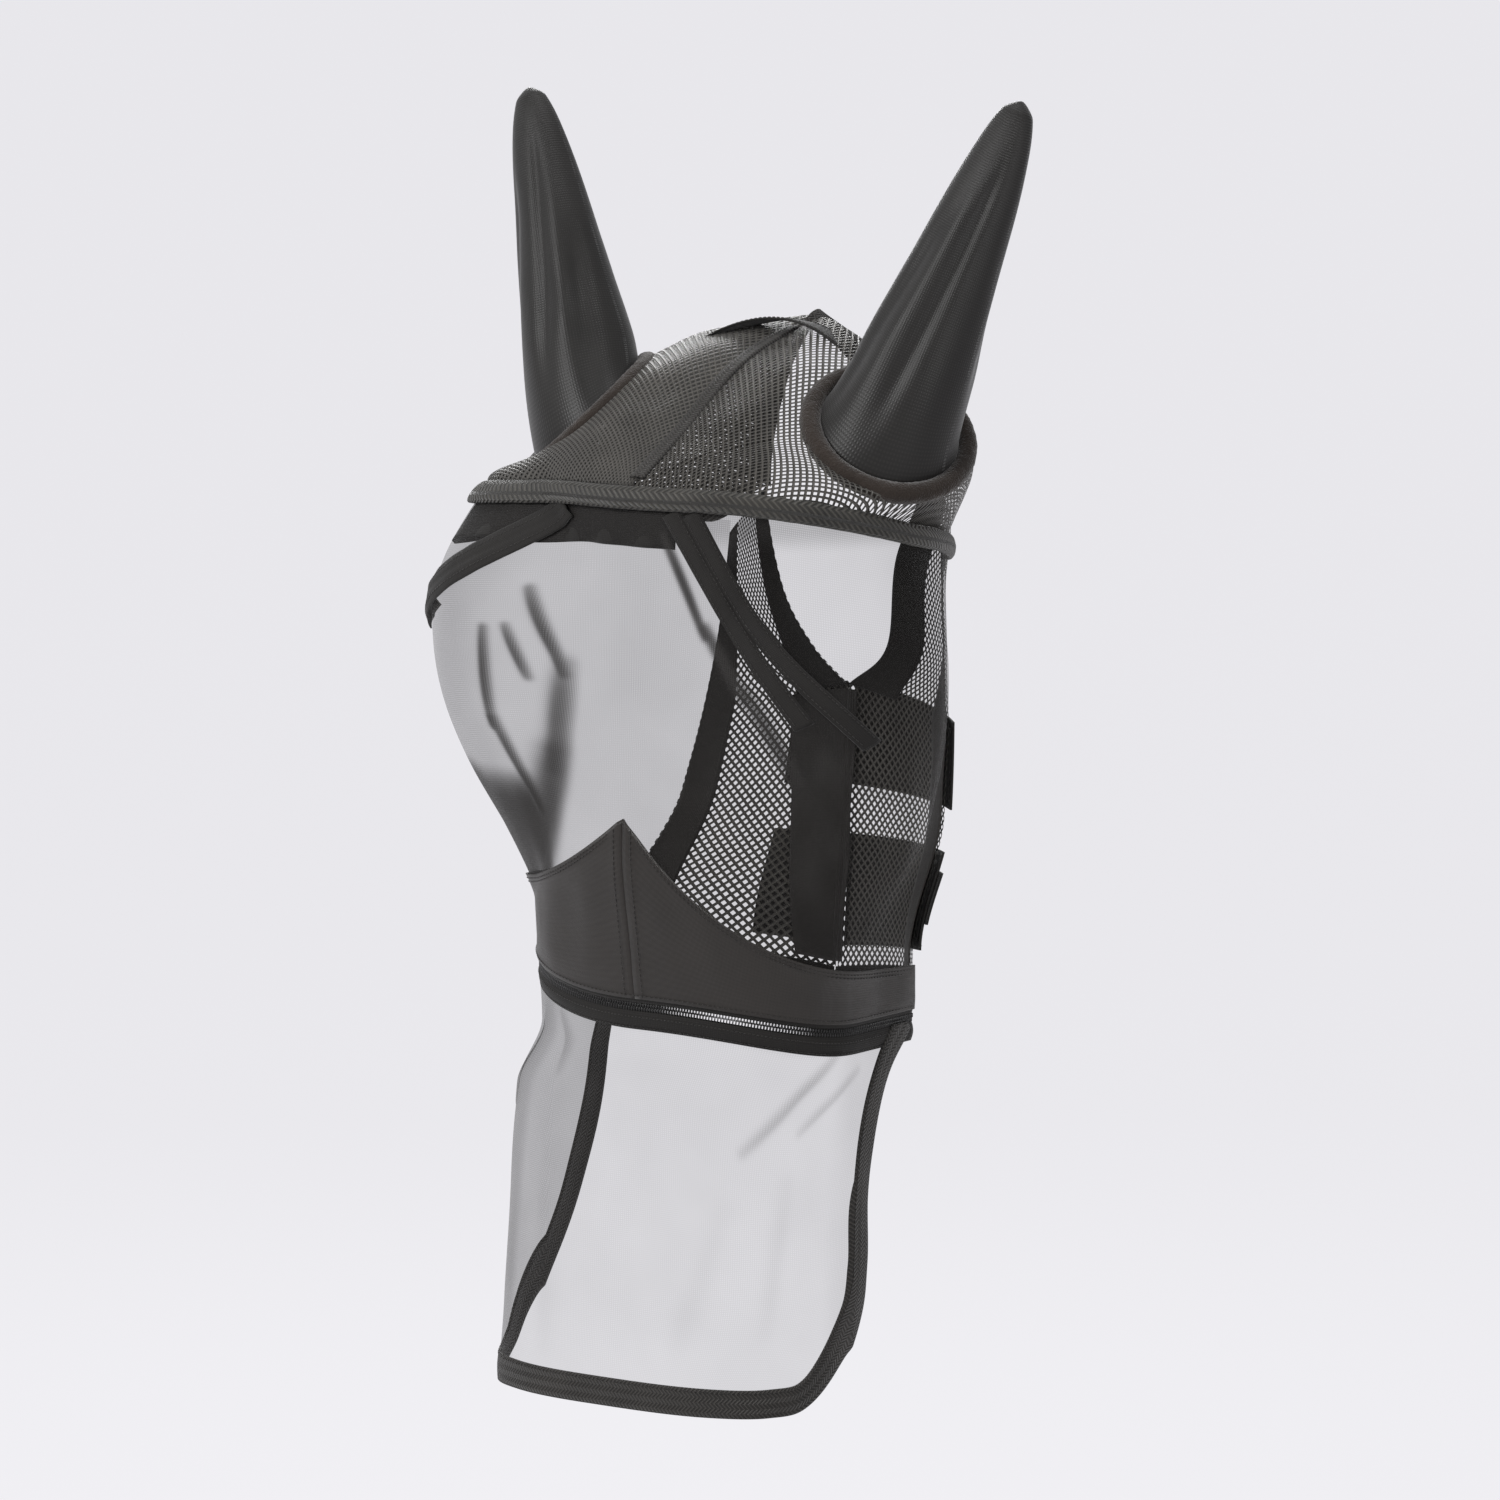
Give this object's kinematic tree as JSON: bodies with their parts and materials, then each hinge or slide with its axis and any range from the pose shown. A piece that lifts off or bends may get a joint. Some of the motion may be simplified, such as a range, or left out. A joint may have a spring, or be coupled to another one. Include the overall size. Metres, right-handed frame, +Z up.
{
  "type": "horse fly mask",
  "caption": "Mesh fly mask for a horse's head, with stretch ear sleeves, a padded brow roll, hook-and-loop throat straps and a nose piece that zips off.",
  "frame": {"origin": "on the poll, on the centre line, at the top of the neck opening, where the crown rests on the horse's head", "axes": "+Z up the head towards the ears, -Y out of the face, +X the horse's left"},
  "size_m": [0.3832, 0.2631, 0.7846],
  "materials": {
    "fine_mesh": "fine open knitted mesh, matt charcoal, see-through",
    "air_mesh": "thick knitted mesh with open diamond holes, matt charcoal",
    "fleece": "short dense pile, brownish black",
    "lycra": "stretch knit with a soft sheen, black",
    "padded_roll": "padded tube of herringbone tape, matt black",
    "satin": "plain woven ribbon with a satin sheen, brownish black",
    "tape": "woven tape, matt black",
    "webbing": "herringbone webbing, matt black",
    "hook_and_loop": "hook-and-loop tape, matt black",
    "zip_tape": "woven zip tape, matt black",
    "zip_teeth": "moulded coil teeth, black",
    "zip_metal": "black lacquer, semi-gloss"
  },
  "bodies": {
    "mask": {"face_mesh": "fine_mesh", "crown_mesh_left": "air_mesh", "crown_mesh_right": "air_mesh", "jowl_mesh_left": "air_mesh", "jowl_mesh_right": "air_mesh", "ear_rim_left": "fleece", "ear_rim_right": "fleece", "brow_roll": "padded_roll", "noseband_left": "satin", "noseband_right": "satin", "brow_facing": "tape", "eye_dart_right_tape": "tape", "eye_dart_left_inner_tape": "tape", "eye_dart_left_outer_tape": "tape", "crown_seam_tape": "tape", "poll_tape": "tape", "cheek_band_left": "tape", "cheek_band_right": "tape", "neck_facing_left": "tape", "neck_facing_right": "tape", "jowl_hem_left": "tape", "jowl_hem_right": "tape", "throat_flap": "tape", "strap_base_upper": "tape", "strap_base_lower": "tape", "poll_edge_binding": "webbing", "loop_pad_upper": "hook_and_loop", "loop_pad_lower": "hook_and_loop", "zip_tape_upper": "zip_tape", "zip_teeth_upper": "zip_teeth"},
    "ear_left": {"ear_sleeve_left": "lycra"},
    "ear_right": {"ear_sleeve_right": "lycra"},
    "strap_upper": {"closure_strap_upper": "tape", "hook_patch_upper": "hook_and_loop"},
    "strap_lower": {"closure_strap_lower": "tape", "hook_patch_lower": "hook_and_loop", "strap_grip_tab": "tape"},
    "nose_piece": {"nose_mesh": "fine_mesh", "nose_binding": "webbing", "zip_teeth_lower": "zip_teeth", "zip_tape_lower": "zip_tape"},
    "zip_slider": {"zip_slider": "zip_metal"},
    "zip_puller": {"zip_puller": "zip_metal"}
  },
  "joints": [
    {"name": "ear_tilt_left", "type": "hinge", "parent": "mask", "child": "ear_left", "pos_m": [0.11, -0.075, -0.06], "axis": [1, 0, 0], "range_deg": [-4, 18]},
    {"name": "ear_tilt_right", "type": "hinge", "parent": "mask", "child": "ear_right", "pos_m": [-0.11, -0.075, -0.06], "axis": [1, 0, 0], "range_deg": [-4, 18]},
    {"name": "strap_open_upper", "type": "hinge", "parent": "mask", "child": "strap_upper", "pos_m": [0.0015, 0.0515, -0.263], "axis": [0, 0, 1], "range_deg": [0, 120]},
    {"name": "strap_open_lower", "type": "hinge", "parent": "mask", "child": "strap_lower", "pos_m": [0.0015, 0.0435, -0.343], "axis": [0, 0, 1], "range_deg": [0, 120]},
    {"name": "nose_piece_off", "type": "slide", "parent": "mask", "child": "nose_piece", "axis": [0, 0, -1], "range_m": [0, 0.15]},
    {"name": "zip_run", "type": "slide", "parent": "mask", "child": "zip_slider", "axis": [0, -1, 0], "range_m": [0, 0.045]},
    {"name": "puller_lift", "type": "hinge", "parent": "zip_slider", "child": "zip_puller", "pos_m": [-0.11972, -0.0385, -0.384], "axis": [0, 1, 0], "range_deg": [0, 100]}
  ]
}
